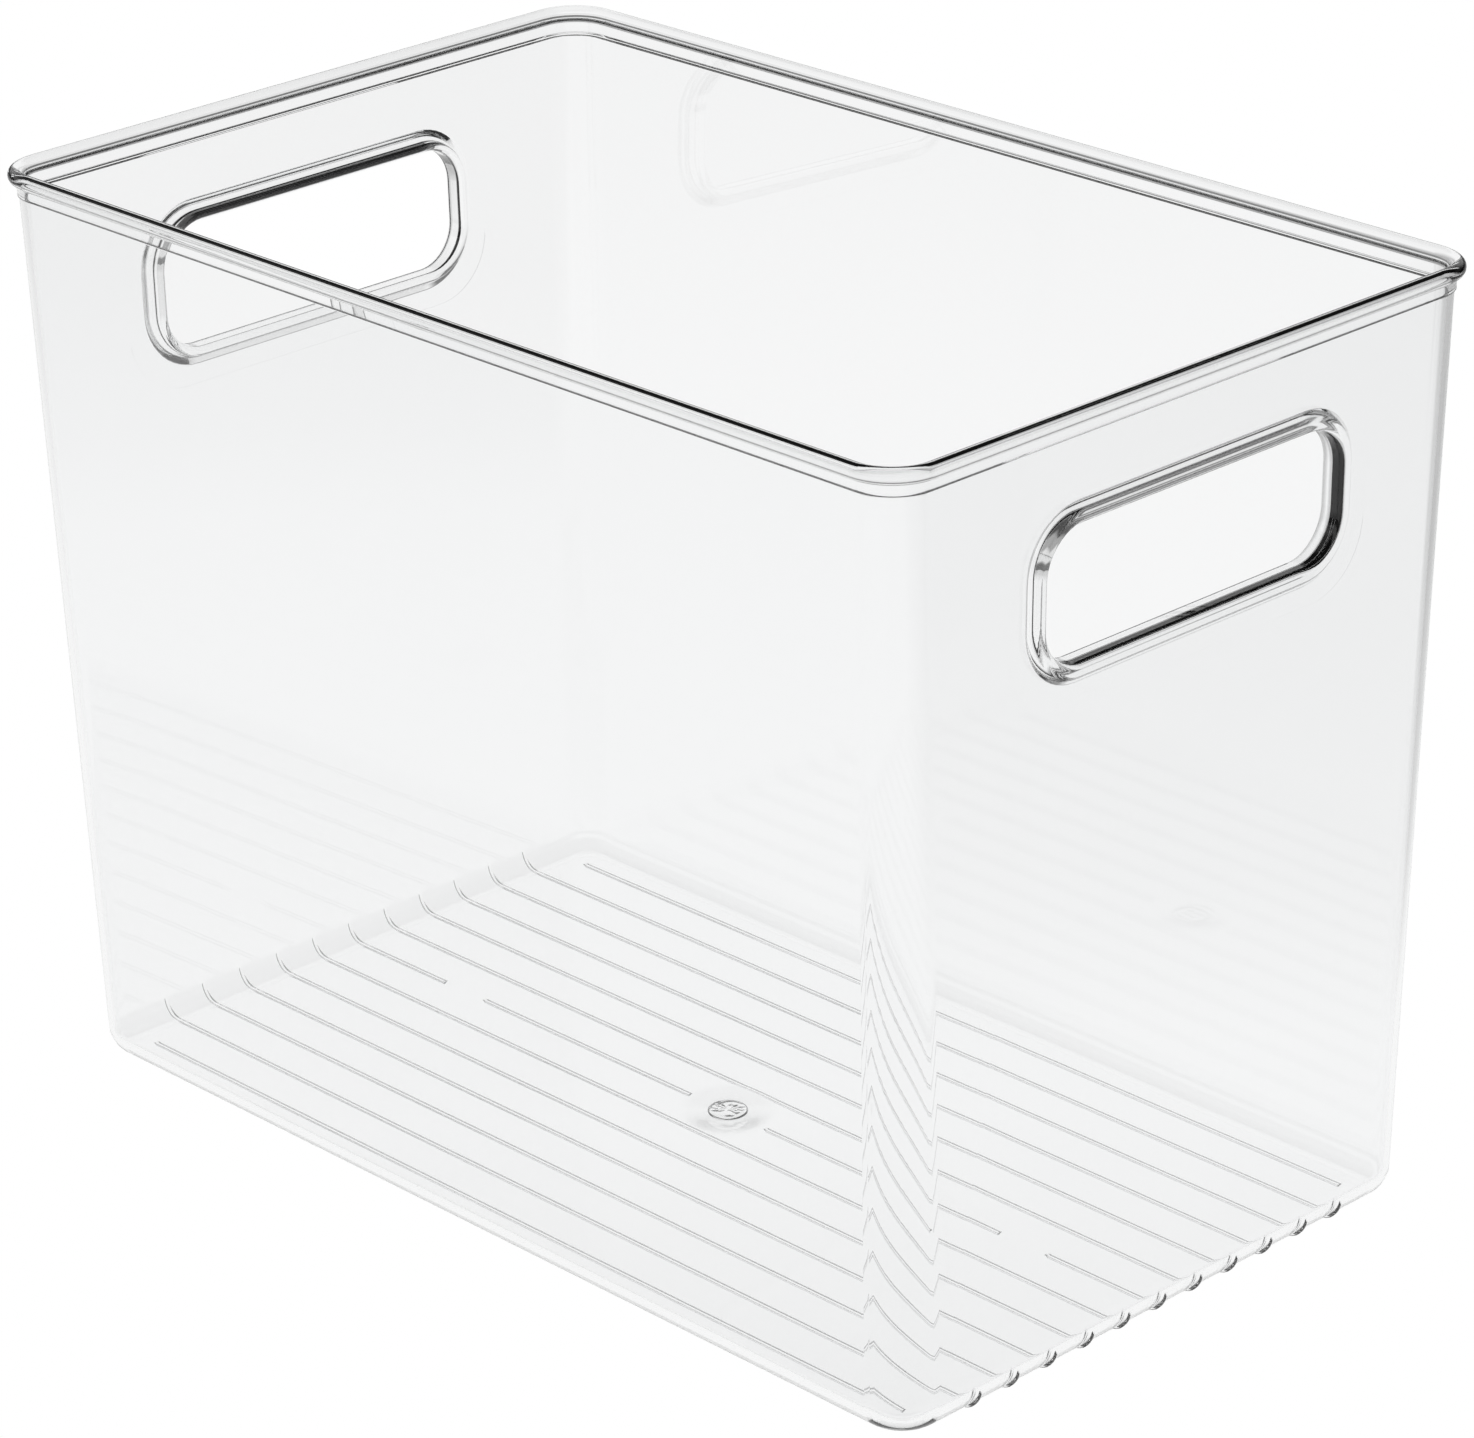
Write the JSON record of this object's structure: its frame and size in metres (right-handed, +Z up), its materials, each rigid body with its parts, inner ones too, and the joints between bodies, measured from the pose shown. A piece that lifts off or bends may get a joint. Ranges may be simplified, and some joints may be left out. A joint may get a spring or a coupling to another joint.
{
  "type": "fridge bin",
  "caption": "Clear plastic storage bin with an open top, outward-leaning walls, a rolled rim, a hand hole in each short end and skid ribs under the floor.",
  "frame": {"origin": "centre of the footprint, on the surface that the skid ribs stand on", "axes": "+X along the length towards a hand hole, +Y across the width, +Z up"},
  "size_m": [0.254, 0.161, 0.1982],
  "materials": {
    "clear_plastic": "clear, polished"
  },
  "bodies": {
    "root": {"base_pan": "clear_plastic", "long_wall_front": "clear_plastic", "long_wall_rear": "clear_plastic", "end_wall_left": "clear_plastic", "end_wall_right": "clear_plastic", "corner_1": "clear_plastic", "corner_2": "clear_plastic", "corner_3": "clear_plastic", "corner_4": "clear_plastic", "rim_right": "clear_plastic", "rim_rear": "clear_plastic", "rim_left": "clear_plastic", "rim_front": "clear_plastic", "rim_corner_1": "clear_plastic", "rim_corner_2": "clear_plastic", "rim_corner_3": "clear_plastic", "rim_corner_4": "clear_plastic", "handle_left": "clear_plastic", "handle_right": "clear_plastic", "skid_rib_01": "clear_plastic", "skid_rib_02": "clear_plastic", "skid_rib_03": "clear_plastic", "skid_rib_04": "clear_plastic", "skid_rib_05": "clear_plastic", "skid_rib_06": "clear_plastic", "skid_rib_07": "clear_plastic", "skid_rib_08": "clear_plastic", "skid_rib_09": "clear_plastic", "skid_rib_10": "clear_plastic", "skid_rib_11": "clear_plastic", "skid_rib_12": "clear_plastic", "skid_rib_13": "clear_plastic", "rib_ends_left": "clear_plastic", "rib_ends_right": "clear_plastic", "gate_boss": "clear_plastic"}
  },
  "joints": []
}
